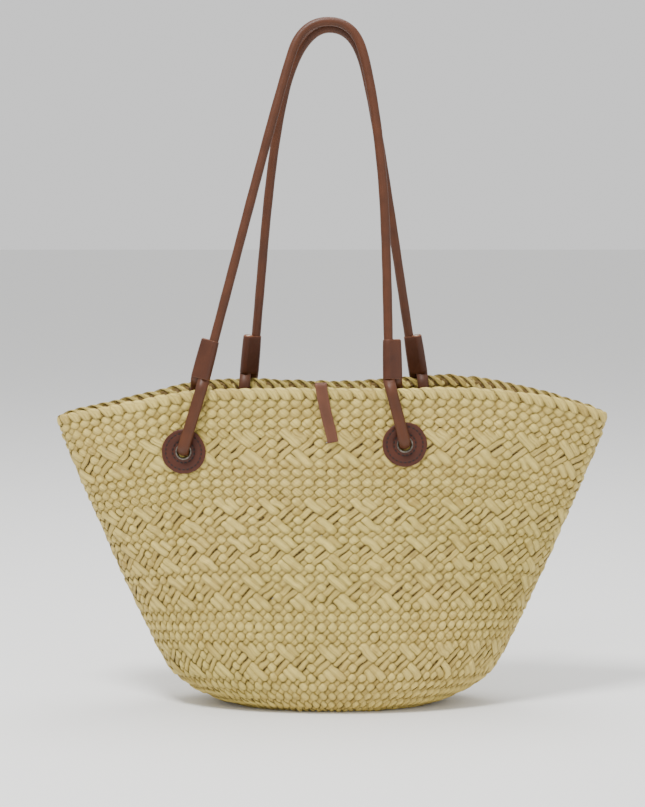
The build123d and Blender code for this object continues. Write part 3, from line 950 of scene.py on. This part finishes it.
def loop_route(name, low, up, across):
    """Line of one loop: down outside, through the eyelet and up inside to the sleeve again."""
    centre, _, _, normal, side = anchor_frame(name)
    clear = TUBE + LOOP_GAP
    rim_run = 16.0  # straight stretch below the rim
    eyelet_run = 14.0  # and on each side of the eyelet
    returning = low + across * SPACING
    crossings = []
    for strand, beyond in ((low, BRAID_PROUD + clear), (returning, -WALL - BRAID_PROUD - clear)):
        x = strand[0] + 0.1 * (centre[0] - strand[0])
        rim = np.array([x, side * float(wall_depth(x, RIM_HEIGHT)), RIM_HEIGHT - 2.5])
        crossings.append(rim + np.array([0, side, 0]) * beyond)
    stand_off = PATCH_TOP + 0.7 + clear
    outside = centre + normal * stand_off
    inside = centre - normal * (WALL + stand_off)
    towards_out = (crossings[0] - outside) / np.linalg.norm(crossings[0] - outside)
    towards_in = (crossings[1] - inside) / np.linalg.norm(crossings[1] - inside)
    return [
        low + up * SLEEVE_HOLD,
        low + up * 2.0,
        low - up * 1.6,
        crossings[0],
        crossings[0] - towards_out * rim_run,
        outside + towards_out * eyelet_run,
        outside - towards_out * 1.0,
        inside - towards_in * 1.0,
        inside + towards_in * eyelet_run,
        crossings[1] - towards_in * rim_run,
        crossings[1],
        returning - up * 1.6,
        returning + up * 2.0,
        returning + up * SLEEVE_HOLD,
    ]


def build_end(body, anchor, low, up, across):
    """One end of a handle: its sleeve, the returning end in it, and the loop through the eyelet."""
    returning = low + across * SPACING
    hold = returning + up * SLEEVE_HOLD
    cover_end = returning + up * (SLEEVE_LENGTH + 0.6)
    core_end = returning + up * (SLEEVE_LENGTH + 0.2)
    end_cover = tube(
        f"{anchor}_end_cover", [hold, cover_end], TUBE, across, HANDLE_LEATHER,
        bore=TUBE - COVER, step=3.0, end_wear=0.9,
    )
    end_core = tube(f"{anchor}_end_core", [hold, core_end], TUBE - COVER, across, ROPE, step=3.0)
    shell = sleeve(f"{anchor}_strand_sleeve", low, up, across)
    for piece in (end_cover, end_core, shell):
        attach(piece, body)
    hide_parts(f"{anchor}_sleeve")

    line = smooth_path(loop_route(anchor, low, up, across))
    cover = tube(
        f"{anchor}_bend_cover", line, TUBE, (1, 0, 0), HANDLE_LEATHER,
        bore=TUBE - COVER, seam=2.4, step=1.4, wide=LOOP_WIDE,
    )
    core = tube(f"{anchor}_bend_core", line, TUBE - COVER, (1, 0, 0), ROPE, wide=LOOP_WIDE)
    for piece, slot, node in ((cover, "handle_leather", "cover"), (core, "rope_core", "core")):
        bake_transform(piece)
        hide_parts(f"{anchor}_loop_{node}")


def build_arch(body, side, points):
    """The long arch between the two sleeves, with its seam turned outwards."""
    line = smooth_path(points, 5)
    seam = 0.0 if side < 0 else np.pi
    arch = tube(f"{body}_arch_cover", line, TUBE, (0, 1, 0), HANDLE_LEATHER, bore=TUBE - COVER, seam=seam)
    core = tube(f"{body}_arch_core", line, TUBE - COVER, (0, 1, 0), ROPE, step=4.0)
    for piece, slot, node in ((arch, "handle_leather", "cover"), (core, "rope_core", "core")):
        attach(piece, body)
        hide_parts(f"{body}_{node}")


def build_handle(body, side, legs, anchors):
    """Arch, returning ends, sleeves and loops of one handle."""
    plane = handle_frame(side, legs)
    feet = []
    ends = ((legs[0], legs[1], -1), (legs[-1], legs[-2], 1))
    for (foot, knee, outward), anchor in zip(ends, anchors):
        root, up, across = leg_foot(plane, side, foot, knee, outward)
        low = root + up * SLEEVE_LIFT
        feet.append(low + up * SLEEVE_HOLD)
        build_end(body, anchor, low, up, across)
    points = [feet[0], *[handle_point(plane, *point) for point in legs[1:-1]], feet[1]]
    build_arch(body, side, points)


# ---------------------------------------------------------------- closure tie
def tie_route():
    """Middle line of the tie, up inside, over the rim and down in front; also its top and the tail's Y."""
    low_in, high_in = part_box("tie_anchor")
    low_out, high_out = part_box("tie_tail")
    x = (low_in[0] + high_in[0]) / 2 / MM
    inside_x = x + TIE_SHIFT
    inside_y = high_in[1] / MM - 0.8
    front_y = -float(wall_depth(x, RIM_HEIGHT)) - BRAID_PROUD - 1.2
    tail_y = (low_out[1] + high_out[1]) / 2 / MM
    sewn_end = low_in[2] / MM + 0.8
    top = high_in[2] / MM - 0.8
    tail_end = low_out[2] / MM + 0.8
    route = [
        (inside_x, inside_y, sewn_end),
        (inside_x, inside_y, top - 6),
        (inside_x, inside_y, top),
        (inside_x, (inside_y + front_y) / 2, top + 0.2),
        (inside_x, front_y, top),
        (inside_x + 0.6, front_y - 0.2, top - 6),
        (x, tail_y - 0.4, top - 24),
        (x + 5.2, tail_y - 1.0, tail_end + 8),
        (x + 6.8, tail_y - 1.2, tail_end),
    ]
    return route, top, tail_y


def closure_tie():
    """One flat strap, sewn inside, over the rim and hanging in front."""
    route, top, tail_y = tie_route()
    line, at = even_path(smooth_path(route), 1.2)
    ahead = np.gradient(line, axis=0)
    ahead /= np.linalg.norm(ahead, axis=1, keepdims=True)
    face = np.cross(np.array([1.0, 0, 0]), ahead)
    face /= np.linalg.norm(face, axis=1, keepdims=True)
    sideways = np.cross(ahead, face)
    outline = [(-1, -0.55), (-0.96, -0.95), (-0.5, -1.0), (0, -1.0), (0.5, -1.0), (0.96, -0.95), (1, -0.55)]
    outline += [(u, -v) for u, v in outline[::-1]]
    taper = np.interp(at, [0, at[-1] * 0.55, at[-1]], [1.06, 1.02, 0.95])
    cup = 0.25 * np.sin(at * 0.12)
    grid = np.zeros((1, len(line), len(outline), 3))
    for n, (u, v) in enumerate(outline):
        out = v * TIE_HALF_THICK + cup * u * u
        grid[0, :, n] = line + sideways * (u * TIE_HALF_WIDTH * taper)[:, None] + face * out[:, None]
    across = np.array([u for u, _ in outline])
    obj = bars_mesh("closure_tie", grid, 0.5, across[None, None], at[None, :, None])
    wear = np.where(np.abs(across) > 0.9, 0.6, 0.0)
    add_float(obj, "edge", np.broadcast_to(wear, grid.shape[:3]))
    obj.data.materials.append(TIE_LEATHER)
    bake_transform(obj)
    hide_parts("tie_anchor", "tie_tail")


# ---------------------------------------------------------------- assembly
def build_basket():
    """Plait, base mat and rim braid."""
    pieces = [plait_strands(kind, group) for kind in KINDS for group in range(GROUPS)]
    pieces += base_mat()
    for piece in pieces:
        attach(piece, "basket")
    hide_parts("basket_shell")
    leaves = braid_leaves()
    for piece in (leaves, braid_core()):
        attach(piece, "basket")
    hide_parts("rim_braid")


def build_anchor(name):
    """Two patches, their stitches and the eyelet through them."""
    outer = leather_patch(name, f"{name}_patch", False)
    inner = leather_patch(name, f"{name}_backing", True)
    sewing = stitches(name, f"{name}_stitches")
    ring, back = eyelet(name)
    for piece, slot, node in (
        (outer, "patch_leather", "outer_patch"),
        (inner, "patch_leather", "inner_patch"),
        (sewing, "thread", "stitching"),
        (ring, "eyelet_metal", "eyelet"),
        (back, "eyelet_metal", "eyelet_washer"),
    ):
        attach(piece, "basket")
        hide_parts(f"{name}_{node}")


build_basket()
for anchor_name in ANCHORS:
    build_anchor(anchor_name)
build_handle("front_handle", -1, FRONT_LEGS, ("front_left", "front_right"))
build_handle("back_handle", 1, BACK_LEGS, ("back_left", "back_right"))
closure_tie()
# The tie's stitches stay as the CAD model has them, with the thread's material
for material_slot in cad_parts["tie_stitches"].material_slots:
    material_slot.material = THREAD


# ---------------------------------------------------------------- floor, light and camera
def studio():
    """Pale floor that runs up to the horizon, even daylight and three soft lamps."""
    scene = bpy.context.scene
    bpy.ops.mesh.primitive_plane_add(size=1, location=(0, 0.6, 0))
    floor = bpy.context.object
    floor.name = "floor"
    floor.scale = (60, 60, 1)
    paper, _, _, shader = new_material("floor_paper", 0.9)
    shader.inputs["Base Color"].default_value = (0.86, 0.86, 0.85, 1)
    floor.data.materials.append(paper)
    world = bpy.data.worlds.new("studio")
    scene.world = world
    world.use_nodes = True
    background = world.node_tree.nodes["Background"]
    background.inputs["Color"].default_value = (1, 1, 1, 1)
    background.inputs["Strength"].default_value = 0.95
    middle = Vector((0, 0, 0.25))
    for name, place, size, power in (
        ("key", (-0.55, -0.85, 2.2), 0.5, 58),
        ("fill", (1.7, -1.5, 0.9), 1.6, 7),
        ("top", (0.2, 0.5, 2.3), 1.2, 28),
    ):
        light = bpy.data.lights.new(name, "AREA")
        light.size = size
        light.energy = power
        lamp = bpy.data.objects.new(name, light)
        scene.collection.objects.link(lamp)
        lamp.location = place
        lamp.rotation_euler = (middle - Vector(place)).to_track_quat("-Z", "Y").to_euler()


def camera():
    """Long lens a little above the bag's middle, straight in front."""
    scene = bpy.context.scene
    data = bpy.data.cameras.new("camera")
    data.lens = 88.8
    data.sensor_width = 36.0
    eye = bpy.data.objects.new("camera", data)
    scene.collection.objects.link(eye)
    distance = 1.8
    elevation = math.radians(5.2)
    target = Vector((-0.0086, -0.02, 0.2787))
    eye.location = target + Vector((0, -math.cos(elevation), math.sin(elevation))) * distance
    eye.rotation_euler = (target - eye.location).to_track_quat("-Z", "Y").to_euler()
    scene.camera = eye


studio()
camera()
